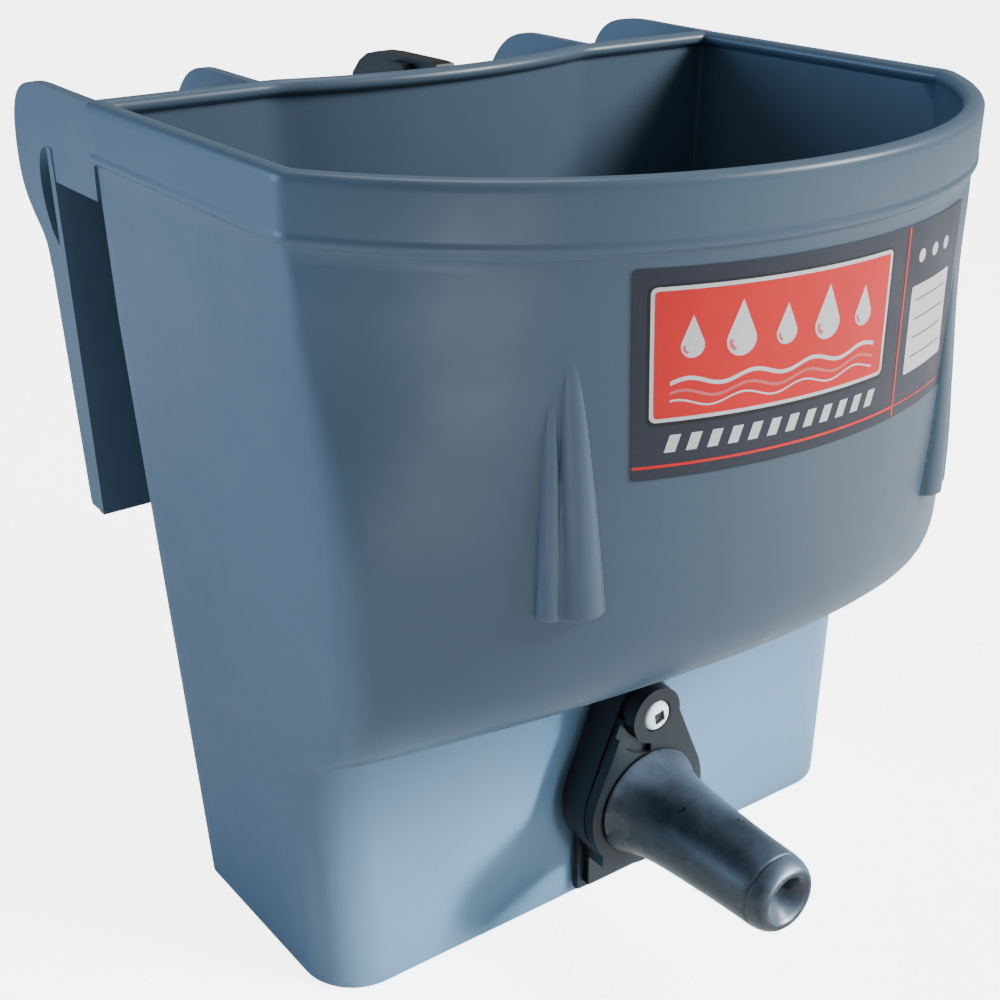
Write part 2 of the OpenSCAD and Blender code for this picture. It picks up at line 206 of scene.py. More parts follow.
def spline(pts, per=6, closed=False):
    """Catmull-Rom through the points."""
    out = []
    n = len(pts)
    rng = range(n) if closed else range(n - 1)
    for i in rng:
        p0 = pts[(i - 1) % n] if closed or i > 0 else pts[0]
        p1, p2 = pts[i], pts[(i + 1) % n]
        p3 = pts[(i + 2) % n] if closed or i + 2 < n else pts[-1]
        for k in range(per):
            t = k / per
            out.append(tuple(0.5 * ((2 * b) + (-a + c) * t + (2 * a - 5 * b + 4 * c - d) * t * t + (-a + 3 * b - 3 * c + d) * t**3) for a, b, c, d in zip(p0, p1, p2, p3)))
    if not closed:
        out.append(tuple(pts[-1]))
    return out


# ---------------------------------------------------------------- materials
def nodes_of(name):
    m = bpy.data.materials.new(name)
    m.use_nodes = True
    nt = m.node_tree
    b = nt.nodes["Principled BSDF"]
    return m, nt, b


def coords(nt, scale=(1, 1, 1)):
    tc = nt.nodes.new("ShaderNodeTexCoord")
    mp = nt.nodes.new("ShaderNodeMapping")
    mp.inputs["Scale"].default_value = scale
    nt.links.new(tc.outputs["Object"], mp.inputs["Vector"])
    return mp.outputs["Vector"]


def noise(nt, vec, scale, detail=4.0, rough=0.5):
    n = nt.nodes.new("ShaderNodeTexNoise")
    n.inputs["Scale"].default_value = scale
    n.inputs["Detail"].default_value = detail
    n.inputs["Roughness"].default_value = rough
    nt.links.new(vec, n.inputs["Vector"])
    return n.outputs["Fac"]


def ramp(nt, fac, stops):
    r = nt.nodes.new("ShaderNodeValToRGB")
    e = r.color_ramp.elements
    while len(e) < len(stops):
        e.new(0.5)
    for el, (p, c) in zip(e, stops):
        el.position = p
        el.color = (*c, 1.0) if len(c) == 3 else c
    nt.links.new(fac, r.inputs["Fac"])
    return r.outputs["Color"]


def mapr(nt, fac, lo, hi, f0=0.0, f1=1.0):
    r = nt.nodes.new("ShaderNodeMapRange")
    r.inputs["From Min"].default_value = f0
    r.inputs["From Max"].default_value = f1
    r.inputs["To Min"].default_value = lo
    r.inputs["To Max"].default_value = hi
    nt.links.new(fac, r.inputs["Value"])
    return r.outputs["Result"]


def mix(nt, fac, a, b):
    m = nt.nodes.new("ShaderNodeMix")
    m.data_type = "RGBA"
    if isinstance(fac, float):
        m.inputs[0].default_value = fac
    else:
        nt.links.new(fac, m.inputs[0])
    for sock, val in ((m.inputs[6], a), (m.inputs[7], b)):
        if isinstance(val, tuple):
            sock.default_value = (*val, 1.0)
        else:
            nt.links.new(val, sock)
    return m.outputs[2]


def bump(nt, b, height, strength, dist, normal=None):
    n = nt.nodes.new("ShaderNodeBump")
    n.inputs["Strength"].default_value = strength
    n.inputs["Distance"].default_value = dist
    nt.links.new(height, n.inputs["Height"])
    if normal is not None:
        nt.links.new(normal, n.inputs["Normal"])
    nt.links.new(n.outputs["Normal"], b.inputs["Normal"])
    return n.outputs["Normal"]


def srgb(r, g, b):
    return tuple(((c / 255 + 0.055) / 1.055) ** 2.4 if c > 10 else c / 255 / 12.92 for c in (r, g, b))


def plastic(name, base, light, dark, rough=(0.3, 0.42), scuff=0.5, grain=900.0, grain_s=0.06, spec=0.5):
    m, nt, b = nodes_of(name)
    v = coords(nt)
    big = noise(nt, v, 7.0, 3.0)
    col = ramp(nt, big, [(0.3, dark), (0.52, base), (0.72, light)])
    speck = noise(nt, v, 260.0, 6.0, 0.7)
    patch = noise(nt, v, 16.0, 2.0)
    sp = mapr(nt, speck, 0.0, 1.0, 0.7, 0.78)
    pm = mapr(nt, patch, 0.0, 1.0, 0.56, 0.66)
    mul = nt.nodes.new("ShaderNodeMath")
    mul.operation = "MULTIPLY"
    nt.links.new(sp, mul.inputs[0])
    nt.links.new(pm, mul.inputs[1])
    mul2 = nt.nodes.new("ShaderNodeMath")
    mul2.operation = "MULTIPLY"
    nt.links.new(mul.outputs[0], mul2.inputs[0])
    mul2.inputs[1].default_value = scuff
    col = mix(nt, mul2.outputs[0], col, srgb(205, 212, 218))
    nt.links.new(col, b.inputs["Base Color"])
    rn = noise(nt, v, 42.0, 5.0, 0.6)
    nt.links.new(mapr(nt, rn, rough[0], rough[1], 0.25, 0.75), b.inputs["Roughness"])
    b.inputs["Specular IOR Level"].default_value = spec
    g = noise(nt, v, grain, 2.0)
    n1 = bump(nt, b, g, grain_s, 0.0002)
    wob = noise(nt, v, 9.0, 1.0)
    bump(nt, b, wob, 0.12, 0.002, n1)
    return m


SLATE = plastic("slate_plastic", srgb(80, 99, 116), srgb(85, 105, 122), srgb(75, 94, 111), (0.3, 0.4), 0.3, spec=0.42)
BLACK = plastic("black_plastic", srgb(11, 12, 15), srgb(15, 16, 20), srgb(8, 9, 11), (0.3, 0.44), 0.25, 700.0, 0.12, 0.38)


def rubber(name):
    m, nt, b = nodes_of(name)
    v = coords(nt)
    big = noise(nt, v, 30.0, 4.0, 0.6)
    col = ramp(nt, big, [(0.3, srgb(13, 15, 20)), (0.6, srgb(19, 22, 28)), (0.8, srgb(27, 31, 39))])
    # dust that lies on the upper side, thin and broken up
    geo = nt.nodes.new("ShaderNodeNewGeometry")
    sep = nt.nodes.new("ShaderNodeSeparateXYZ")
    nt.links.new(geo.outputs["Normal"], sep.inputs[0])
    up_ = mapr(nt, sep.outputs["Z"], 0.0, 1.0, 0.05, 0.5)
    wn = noise(nt, v, 55.0, 6.0, 0.65)
    wm = mapr(nt, wn, 0.05, 0.5, 0.38, 0.68)
    mul = nt.nodes.new("ShaderNodeMath")
    mul.operation = "MULTIPLY"
    nt.links.new(up_, mul.inputs[0])
    nt.links.new(wm, mul.inputs[1])
    col = mix(nt, mul.outputs[0], col, srgb(88, 98, 110))
    dust = mul.outputs[0]
    nt.links.new(col, b.inputs["Base Color"])
    rn = noise(nt, v, 80.0, 5.0, 0.65)
    add = nt.nodes.new("ShaderNodeMath")
    add.operation = "MULTIPLY_ADD"
    nt.links.new(dust, add.inputs[0])
    add.inputs[1].default_value = 0.35
    nt.links.new(mapr(nt, rn, 0.2, 0.34, 0.25, 0.75), add.inputs[2])
    nt.links.new(add.outputs[0], b.inputs["Roughness"])
    b.inputs["Specular IOR Level"].default_value = 0.55
    g = noise(nt, v, 500.0, 5.0, 0.7)
    bump(nt, b, g, 0.15, 0.0003)
    return m


RUBBER = rubber("black_rubber")


def metal(name, col, rough=(0.25, 0.4), stretch=(1, 1, 30)):
    m, nt, b = nodes_of(name)
    v = coords(nt, stretch)
    n = noise(nt, v, 120.0, 5.0, 0.6)
    nt.links.new(ramp(nt, n, [(0.3, tuple(c * 0.86 for c in col)), (0.7, col)]), b.inputs["Base Color"])
    nt.links.new(mapr(nt, n, rough[0], rough[1]), b.inputs["Roughness"])
    b.inputs["Metallic"].default_value = 1.0
    bump(nt, b, n, 0.08, 0.0002)
    return m


STEEL = metal("plated_steel", (0.62, 0.63, 0.65))
SPRING = metal("spring_steel", (0.36, 0.37, 0.39), (0.3, 0.45))
# painted shade: a dark grey laid on the socket's walls and floor, standing in for the shade inside the recess
SOCKET_SHADE = plastic("socket_painted_shade", srgb(58, 56, 52), srgb(72, 69, 64), srgb(40, 39, 37), (0.5, 0.7), 0.2, 600.0, 0.2, 0.3)
SCREW = plastic("white_screw", srgb(222, 222, 218), srgb(232, 232, 229), srgb(206, 206, 202), (0.3, 0.45), 0.2, 600.0, 0.05)


def vinyl(name, col, rough=(0.34, 0.46), wear=0.25):
    m, nt, b = nodes_of(name)
    v = coords(nt)
    big = noise(nt, v, 25.0, 3.0)
    c = ramp(nt, big, [(0.3, tuple(x * 0.92 for x in col)), (0.7, tuple(min(1.0, x * 1.06) for x in col))])
    sp = mapr(nt, noise(nt, v, 420.0, 5.0, 0.75), 0.0, wear, 0.66, 0.8)
    c = mix(nt, sp, c, srgb(150, 152, 156))
    nt.links.new(c, b.inputs["Base Color"])
    nt.links.new(mapr(nt, noise(nt, v, 60.0, 5.0), rough[0], rough[1], 0.25, 0.75), b.inputs["Roughness"])
    bump(nt, b, noise(nt, v, 35.0, 3.0), 0.06, 0.001)
    return m


INK = vinyl("label_ink", srgb(36, 41, 56), wear=0.12)
RED = vinyl("label_red", (0.78, 0.006, 0.006), wear=0.1)
WHITE = vinyl("label_white", srgb(226, 226, 230), wear=0.1)
GREY = vinyl("label_grey", srgb(96, 100, 110))
SHADE = vinyl("label_shade", srgb(14, 15, 22), wear=0.05)
PINK = vinyl("label_pink", (0.72, 0.16, 0.16), wear=0.1)

# ---------------------------------------------------------------- tub
NB, NBC, NS1, NS2, NFC, NA = 30, 5, 18, 7, 9, 54


def bow(x, w):
    c, s = 69.0, 12.7
    r = (c * c + s * s) / (2 * s)
    if abs(x) >= c:
        return 0.0
    return (math.sqrt(r * r - x * x) - (r - s)) * w


def bow_w(z):
    t = min(1.0, max(0.0, (z - 150.0) / 60.0))
    return t * t * (3 - 2 * t)


def half_d(a, r, c, ybk, rf, rb, w):
    """Left half of the D plan, from the middle of the rear wall round to the middle of the front."""
    pts = []
    for i in range(NB):
        x = -(a - rb) * i / NB
        pts.append((x, ybk - bow(x, w)))
    for i in range(NBC + 1):
        q = math.radians(90 * i / NBC)
        pts.append((-(a - rb) - rb * math.sin(q), ybk - rb + rb * math.cos(q)))
    # the rounded corner between the side and the arc
    #   centre at distance r - rf from the arc centre and rf from the side
    cx = -(a - rf)
    cy = c - math.sqrt(max((r - rf) ** 2 - (a - rf) ** 2, 1.0))
    y1 = -88.0
    for i in range(1, NS1 + 1):
        pts.append((-a, (ybk - rb) + (y1 - (ybk - rb)) * i / NS1))
    for i in range(1, NS2 + 1):
        pts.append((-a, y1 + (cy - y1) * i / NS2))
    ang = math.degrees(math.atan2(a - rf, c - cy))      # angle of the tangent point from -Y
    for i in range(1, NFC + 1):
        q = math.radians(90 - (90 - ang) * i / NFC)
        pts.append((cx - rf * math.sin(q), cy - rf * math.cos(q)))
    for i in range(1, NA + 1):
        q = math.radians(ang * (1 - i / NA))
        pts.append((-r * math.sin(q), c - r * math.cos(q)))
    return pts


def half_l(a, f, ybk, rc, rb, w):
    """Left half of the plan of the low box, with the same count and order of points."""
    pts = []
    for i in range(NB):
        x = -(a - rb) * i / NB
        pts.append((x, ybk - bow(x, w)))
    for i in range(NBC + 1):
        q = math.radians(90 * i / NBC)
        pts.append((-(a - rb) - rb * math.sin(q), ybk - rb + rb * math.cos(q)))
    y1 = -88.0
    for i in range(1, NS1 + 1):
        pts.append((-a, (ybk - rb) + (y1 - (ybk - rb)) * i / NS1))
    y2 = -(f - rc)
    n = NS2 + NFC + NA
    # the rest of the side, the corner and the front, with fixed point counts (the lengths la, lb, lc are worked out but
    # not used)
    la, lb, lc = abs(y2 - y1), rc * math.pi / 2, a - rc
    na, nb = NS2 - 3, NFC + 6
    nc = n - na - nb
    for i in range(1, na + 1):
        pts.append((-a, y1 + (y2 - y1) * i / na))
    for i in range(1, nb + 1):
        q = math.radians(90 * i / nb)
        pts.append((-(a - rc) - rc * math.cos(q), y2 - rc * math.sin(q)))
    for i in range(1, nc + 1):
        pts.append((-(a - rc) * (1 - i / nc), -f))
    return pts


def mirror_loop(half):
    full = list(half) + [(-x, y) for x, y in reversed(half[1:-1])]
    return np.array(full)


def loop_d(z, t):
    rf = 8.0 + 17.0 * min(1.0, max(0.0, (285.0 - z) / 110.0))
    r, c = front_arc(z)
    return mirror_loop(half_d(hw(z) - t, r - t, c, yb(z) - t, max(rf - t, 2.0), max(4.0 - t, 1.5), bow_w(z)))


def loop_l(z, t, rc=22.0, f=None):
    ff = 117.6 if f is None else f
    return mirror_loop(half_l(hw(z) - t, ff - t, yb(z) - t, max(rc - t, 3.0), max(4.0 - t, 1.5), bow_w(z)))


def loop_rim(off):
    return mirror_loop(half_d(140.0 + off, 162.0 + off, YC, 0.0 + off, max(11.0 + off, 3.0), max(3.5 + off, 0.8), 1.0))


def plane_z(y, t):
    return 144.0 - 0.5 * (y + 200.0) + t * math.sqrt(1 + 0.25)


def sloped(loop_fn_d, loop_fn_l, t, ztop, zbot, fil, gil, rows_d, rows_l):
    """Rows of points down the wall, round the edge, along the sloped floor and down the low box."""
    n = len(loop_fn_d(200.0, t))
    zs = np.linspace(30.0, 220.0, 39)
    D = np.array([loop_fn_d(z, t) for z in zs])      # [z, u, 2]
    L = np.array([loop_fn_l(z, t) for z in zs])
    dense = np.linspace(zbot, ztop, 140)
    DD = np.array([loop_fn_d(z, t) for z in dense])
    LL = np.array([loop_fn_l(z, t) for z in dense])

    def at(arr, zz, u, z):
        return np.array([np.interp(z, zz, arr[:, u, 0]), np.interp(z, zz, arr[:, u, 1]), z])

    cols = []
    for u in range(n):
        zE = 100.0
        for _ in range(30):
            zE = plane_z(at(DD, dense, u, zE)[1], t)
        zK = zE
        for _ in range(30):
            zK = plane_z(at(LL, dense, u, zK)[1], t)
        E, K = at(DD, dense, u, zE), at(LL, dense, u, zK)
        if zE - zK < 2.0:
            zE, zK = zE + 1.0, zK - 1.0
            E, K = at(DD, dense, u, zE), at(LL, dense, u, zK)
        vec = K - E
        ln = float(np.linalg.norm(vec))
        d = vec / ln
        f = 3.0 + (fil - 3.0) * min(1.0, ln / 24.0)
        g = 3.0 + (gil - 3.0) * min(1.0, ln / 24.0)
        t1, t2 = min(f * 0.95, 0.46 * ln), min(g, 0.4 * ln)
        A = at(DD, dense, u, zE + f)
        E2 = E + d * t1
        K1 = K - d * t2
        G = at(LL, dense, u, zK - g)
        col = [at(DD, dense, u, ztop + (zE + f - ztop) * i / rows_d) for i in range(rows_d)]
        for i in range(9):
            s = i / 8
            col.append((1 - s) ** 2 * A + 2 * s * (1 - s) * E + s * s * E2)
        for i in range(1, 6):
            s = i / 6
            col.append(E2 * (1 - s) + K1 * s)
        for i in range(6):
            s = i / 5
            col.append((1 - s) ** 2 * K1 + 2 * s * (1 - s) * K + s * s * G)
        for i in range(1, rows_l + 1):
            col.append(at(LL, dense, u, (zK - g) + (zbot - (zK - g)) * i / rows_l))
        cols.append(col)
    return np.array(cols).transpose(1, 0, 2)      # rows, u, 3


def flat_row(loop, z):
    return np.array([(x, y, z) for x, y in loop])


rows = []
# inner skin, from the floor up
inner = sloped(loop_d, loop_l, 3.3, 300.0, 9.0, 20.0, 8.0, 24, 14)
ft = []
for i in range(5):
    q = math.radians(90 * i / 5)
    ft.append(flat_row(loop_l(9.0, 3.3 + 6.0 * (1 - math.sin(q)) + 0.0), 3.3 + 6.0 * (1 - math.cos(q))))
rows += ft
rows += list(inner[::-1])
# rim bead
for off, z in [(-6.3, 301.6), (-6.9, 302.2), (-7.1, 303.2), (-6.9, 304.3), (-6.3, 305.2), (-5.4, 305.8), (-4.2, 306.0), (-2.4, 306.0), (-1.3, 305.7), (-0.5, 305.0), (-0.05, 304.0),
               (-0.02, 302.4), (-0.08, 298.0), (-0.16, 293.0), (-0.26, 289.4), (-0.3, 288.6), (-0.04, 288.0), (0.0, 287.2), (-0.05, 286.4), (-0.3, 285.8), (-0.7, 285.4), (-1.3, 285.1)]:
    rows.append(flat_row(loop_rim(off), z))
outer = sloped(loop_d, loop_l, 0.0, 284.0, 2.2, 24.0, 6.0, 34, 18)
rows += list(outer)
for i in range(1, 6):
    q = math.radians(90 * i / 5)
    rows.append(flat_row(loop_l(2.2, 2.2 * (1 - math.cos(q))), 2.2 * (1 - math.sin(q))))
NU = rows[0].shape[0]
V = np.concatenate(rows)
F = grid_faces(NU, len(rows), close_u=True)
F.append(tuple(range(NU)))
F.append(tuple(reversed(range((len(rows) - 1) * NU, len(rows) * NU))))
tub = make("tub_moulding", V, F, [SLATE], angle=50.0)
recalc(tub)
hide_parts("bucket_shell", "rim_band")


def cut(ob, tools):
    for t in tools:
        m = ob.modifiers.new("Hole", "BOOLEAN")
        m.operation = "DIFFERENCE"
        m.object = t
        m.solver = "EXACT"
    bpy.context.view_layer.update()
    dg = bpy.context.evaluated_depsgraph_get()
    new = bpy.data.meshes.new_from_object(ob.evaluated_get(dg))
    ob.modifiers.clear()
    old = ob.data
    ob.data = new
    for t in tools:
        bpy.data.objects.remove(t)
    return ob


def tool_cyl(x, z, r, y0, y1, n=48):
    bm = bmesh.new()
    bmesh.ops.create_cone(bm, cap_ends=True, segments=n, radius1=r * MM, radius2=r * MM, depth=abs(y1 - y0) * MM,
                          matrix=Matrix.Translation((x * MM, Y0 + (y0 + y1) / 2 * MM, z * MM)) @ Matrix.Rotation(math.radians(90), 4, "X"))
    me = bpy.data.meshes.new("tool")
    bm.to_mesh(me)
    bm.free()
    ob = bpy.data.objects.new("tool", me)
    bpy.context.scene.collection.objects.link(ob)
    return ob


TEAT_Z, PIV_Z = 47.5, 86.9
cut(tub, [tool_cyl(0, TEAT_Z, 14, -130, -105)])
tub.data.set_sharp_from_angle(angle=math.radians(50))

# ---------------------------------------------------------------- hanger
SEAT_Z, GAP = 272.0, 36.0
TOP_END = [(-4.0, 305.8), (20.0, 306.0), (40.0, 306.2), (52.0, 304.9), (60.0, 302.0), (65.8, 297.0), (69.6, 289.6), (71.4, 280.0), (71.4, 270.5), (69.0, 262.6), (63.4, 255.4), (57.2, 249.2), (54.4, 243.6), (53.6, 237.0), (52.8, 231.0), (49.0, 142.0)]
TOP_MID = [(-2.0, 305.4), (20.0, 305.6), (38.0, 305.6), (47.0, 303.8), (54.0, 300.2), (60.0, 294.6), (64.4, 287.6), (66.6, 279.0), (66.8, 270.5), (65.0, 263.4), (61.0, 256.4), (56.4, 250.0), (54.0, 244.6), (53.0, 238.0), (52.4, 232.0), (49.0, 142.0)]
slot_pts = spline([(42.6, 247.8), (46.6, 252.4), (49.8, 260.0), (51.0, 269.0), (49.6, 277.0), (46.2, 281.8), (42.4, 283.4)], 5)
rib_hole = [(40.9, 283.6), (40.9, 247.4)] + slot_pts


def rib(name, x, t, end, tilt_deg=0.0):
    M = None
    if tilt_deg:
        M = Matrix.Translation((x, 0, 306)) @ Matrix.Rotation(math.radians(tilt_deg), 4, "Y") @ Matrix.Translation((-x, 0, -306))
    tail = [(48.0, 140.2), (40.2, 140.0), (40.0, 284.0), (36.0, 284.0)]
    tail += [(36.0, 272.0), (-1.0, 272.0), (-2.0, 284.6), (-4.0, 284.6)] if end else [(36.0, 276.0), (-2.0, 276.0)]
    out = spline(TOP_END if end else TOP_MID, 5) + tail
    return extrude_poly(name, out, [rib_hole], "x", x - t / 2, x + t / 2, [SLATE], bev=0.9, segs=3, tilt=M)


TILT = math.degrees(math.atan(4.8 / 166.0))
ribs = [rib("rib_end_left", -137.5, 3.9, True, -TILT), rib("rib_left", -75.0, 3.9, False), rib("rib_right", 75.0, 3.9, False), rib("rib_end_right", 137.5, 3.9, True, TILT)]
for r in ribs:
    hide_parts("hanger_ribs")

for n, w in (("hanger_shelf", 0.5), ("hanger_tail", 0.9)):
    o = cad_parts[n]
    bevel(o, w, 2, 35.0, dissolve=True)

# ---------------------------------------------------------------- flutes on the curved front
def wall_point(th, z, off):
    """Point on the curved front at angle th (degrees, from -Y towards +X), height z, standing off mm proud."""
    q = math.radians(th)
    rr, c = front_arc(z)
    d = YC - c
    r = math.cos(q) * d + math.sqrt(rr * rr - (math.sin(q) * d) ** 2) + off
    return (r * math.sin(q), YC - r * math.cos(q), z - off * KR)


def flute(name, sgn):
    nz, nt = 96, 72
    z0, z1 = 177.3, 258.5
    th0, th1 = -35.4, -24.8
    vs = []

    def lobe(th, z, thb, tht, wb, ztip, p, ew, ep):
        s = (ztip - z) / (ztip - z0)
        if s <= 0:
            return 0.0
        s = min(s, 1.0)
        c = tht + (thb - tht) * s
        w = wb * s**ew
        d = math.radians(th - c) * fr(z) / w
        return p * s**ep * math.sqrt(max(0.0, 1 - d * d)) if abs(d) < 1 else 0.0

    def height(th, z):
        a = lobe(th, z, -28.95, -30.7, 6.9, 257.5, 5.6, 0.46, 0.9)
        b = lobe(th, z, -32.6, -32.6, 4.2, 245.5, 4.3, 0.4, 0.8)
        if a <= 0.0 or b <= 0.0:
            return max(a, b)
        k = 1.1
        m = max(a, b)
        return m + k * math.log(math.exp((a - m) / k) + math.exp((b - m) / k)) * min(1.0, min(a, b))

    def base(th):
        # the lower end is cut a little lower in the middle
        return z0 - 1.6 * max(0.0, 1 - ((th + 30.2) / 4.6) ** 2)

    for j in range(nz):
        for i in range(nt):
            th = th0 + (th1 - th0) * i / (nt - 1)
            zb = base(th)
            z = zb + (z1 - zb) * j / (nz - 1)
            vs.append(wall_point(th * sgn, z, height(th, max(z, z0)) - 0.25))
    # the flat lower end, with a soft edge
    for i in range(nt):
        th = th0 + (th1 - th0) * i / (nt - 1)
        vs.append(wall_point(th * sgn, base(th) - 0.8, -0.25 + 0.82 * height(th, z0)))
    for i in range(nt):
        th = th0 + (th1 - th0) * i / (nt - 1)
        vs.append(wall_point(th * sgn, base(th) - 1.3, -0.6))
    fs = grid_faces(nt, nz)
    base_i = nz * nt
    for i in range(nt - 1):
        fs.append((i + 1, i, base_i + i, base_i + i + 1))
        fs.append((base_i + i + 1, base_i + i, base_i + nt + i, base_i + nt + i + 1))
    ob = make(name, vs, fs, [SLATE], angle=60)
    recalc(ob)
    return ob


fl = [flute("flute_left", 1), flute("flute_right", -1)]
for o in fl:
    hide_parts("front_flutes")

# ---------------------------------------------------------------- label
LR = 155.5
LABEL_S, LABEL_Z = (-66.5, 77.0), (217.0, 280.8)
LABEL_Q = ((-67.4, 280.7), (75.0, 279.6), (79.5, 216.2), (-65.6, 217.4))      # the corners as they lie on the tub


def lay(s_, z_):
    """From the label's own square frame to the slightly skewed place it is stuck on."""
    u_ = (s_ - LABEL_S[0]) / (LABEL_S[1] - LABEL_S[0])
    v_ = (z_ - LABEL_Z[0]) / (LABEL_Z[1] - LABEL_Z[0])
    (ax, az), (bx, bz), (cx, cz), (dx, dz) = LABEL_Q
    return ((1 - u_) * v_ * ax + u_ * v_ * bx + u_ * (1 - v_) * cx + (1 - u_) * (1 - v_) * dx,
            (1 - u_) * v_ * az + u_ * v_ * bz + u_ * (1 - v_) * cz + (1 - u_) * (1 - v_) * dz)


def decal(name, poly, off, mat, step=3.0, holes=()):
    """poly: (s, z) loop in mm, s along the arc from the middle; laid on the curved front."""
    bm = bmesh.new()
    edges = []
    for loop in [poly] + list(holes):
        vs = [bm.verts.new((s, 0, z)) for s, z in loop]
        for i in range(len(vs)):
            edges.append(bm.edges.new((vs[i], vs[(i + 1) % len(vs)])))
    bmesh.ops.triangle_fill(bm, edges=edges, use_beauty=True, use_dissolve=False)
    lo, hi = min(p[0] for p in poly), max(p[0] for p in poly)
    s = lo + step
    while s < hi - 0.01:
        bmesh.ops.bisect_plane(bm, geom=bm.verts[:] + bm.edges[:] + bm.faces[:], plane_co=(s, 0, 0), plane_no=(1, 0, 0))
        s += step
    lo, hi = min(p[1] for p in poly), max(p[1] for p in poly)
    for i in range(1, int((hi - lo) / 4.0) + 1):
        bmesh.ops.bisect_plane(bm, geom=bm.verts[:] + bm.edges[:] + bm.faces[:], plane_co=(0, 0, lo + i * (hi - lo) / (int((hi - lo) / 4.0) + 1)), plane_no=(0, 0, 1))
    bmesh.ops.triangulate(bm, faces=bm.faces)
    for v in bm.verts:
        sl, zl = lay(v.co.x, v.co.z)
        x, y, z = wall_point(math.degrees(sl / LR), zl, off)
        v.co = Vector((x, y + Y0 / MM, z)) * MM
    bmesh.ops.recalc_face_normals(bm, faces=bm.faces)
    bm.normal_update()
    for f in bm.faces:
        c = f.calc_center_median()
        if f.normal.dot(Vector((c.x, c.y - (YC * MM + Y0), 0))) < 0:
            f.normal_flip()
        f.smooth = True
    me = bpy.data.meshes.new(name)
    bm.to_mesh(me)
    bm.free()
    me.materials.append(mat)
    ob = bpy.data.objects.new(name, me)
    bpy.context.scene.collection.objects.link(ob)
    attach(ob, "tub")
    return ob


def rrect(s0, s1, z0, z1, r, n=6):
    out = []
    for cx, cz, a in ((s1 - r, z1 - r, 0), (s0 + r, z1 - r, 90), (s0 + r, z0 + r, 180), (s1 - r, z0 + r, 270)):
        out += arc(cx, cz, r, a, a + 90, n)
    return out


def rad(deg):
    return math.radians(deg) * LR


S0, S1 = LABEL_S
LZ0, LZ1 = LABEL_Z
label = decal("label_base", rrect(S0, S1, LZ0, LZ1, 1.4), 0.30, INK)
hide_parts("label_sheet")
# a red panel with a white keyline, drops and waves; a blank field to write on
PX0, PX1, PZ0, PZ1 = -61.2, 24.6, 234.8, 275.4
decal("label_panel_shade", rrect(PX0 - 1.0, PX1 + 1.0, PZ0 - 1.2, PZ1 + 0.8, 2.6), 0.33, SHADE)
decal("label_keyline", rrect(PX0, PX1, PZ0, PZ1, 2.0), 0.36, WHITE)
decal("label_panel", rrect(PX0 + 1.2, PX1 - 1.2, PZ0 + 1.2, PZ1 - 1.2, 1.2), 0.42, RED)


def drop_shape(cx, cz, r, h):
    q = math.asin(r / h)
    return arc(cx, cz, r, 180 - math.degrees(q), 360 + math.degrees(q), 28) + [(cx, cz + h)]


for k, (r_, h_) in enumerate(((3.6, 9.2), (4.8, 12.4), (3.6, 9.2), (4.8, 12.4), (3.6, 9.2))):
    sx = PX0 + 12.5 + k * 15.2
    decal(f"label_drop_{k}", drop_shape(sx, 257.4, r_, h_), 0.48, WHITE, 2.0)
    decal(f"label_glint_{k}", arc(sx - r_ * 0.3, 256.9, r_ * 0.52, 150, 262, 10) + arc(sx - r_ * 0.3, 256.9, r_ * 0.3, 262, 150, 10), 0.54, PINK, 2.0)
for k, (zz, th, col) in enumerate(((247.2, 1.3, WHITE), (243.4, 0.9, PINK), (240.4, 0.6, WHITE))):
    wave = [(PX0 + 6 + (PX1 - PX0 - 12) * i / 72, zz + 1.25 * math.sin(i / 72 * math.pi * 7 + k * 0.5)) for i in range(73)]
    decal(f"label_wave_{k}", wave + [(q_, z_ - th) for q_, z_ in reversed(wave)], 0.48, col, 2.0)
decal("label_rule", [(S0 + 0.3, 220.6), (PX1 + 9.0, 220.6), (PX1 + 9.0, 221.5), (S0 + 0.3, 221.5)], 0.36, RED)
decal("label_rule_thin", [(PX1 + 9.6, 220.8), (S1 - 9, 220.8), (S1 - 9, 221.3), (PX1 + 9.6, 221.3)], 0.36, RED)
decal("label_divider", [(PX1 + 8.5, LZ0 + 0.6), (PX1 + 9.4, LZ0 + 0.6), (PX1 + 9.4, LZ1 - 0.6), (PX1 + 8.5, LZ1 - 0.6)], 0.38, RED)
FX0, FX1 = 38.6, 68.4
decal("label_field", rrect(FX0, FX1, 230.4, 260.0, 0.8), 0.36, WHITE)
for k in range(4):
    z = 235.6 + 6.4 * k
    decal(f"label_line_{k}", [(FX0 + 3, z), (FX1 - 3, z), (FX1 - 3, z + 0.5), (FX0 + 3, z + 0.5)], 0.42, GREY)
for k in range(3):
    decal(f"label_dot_{k}", arc(43.0 + k * 9.6, 269.5, 2.2, 0, 350, 22), 0.36, WHITE, 2.0)
for k in range(12):
    q_ = PX0 + 4.5 + k * 6.7
    decal(f"label_tick_{k}", [(q_, 225.2), (q_ + 3.4, 225.2), (q_ + 5.2, 230.6), (q_ + 1.8, 230.6)], 0.36, WHITE)

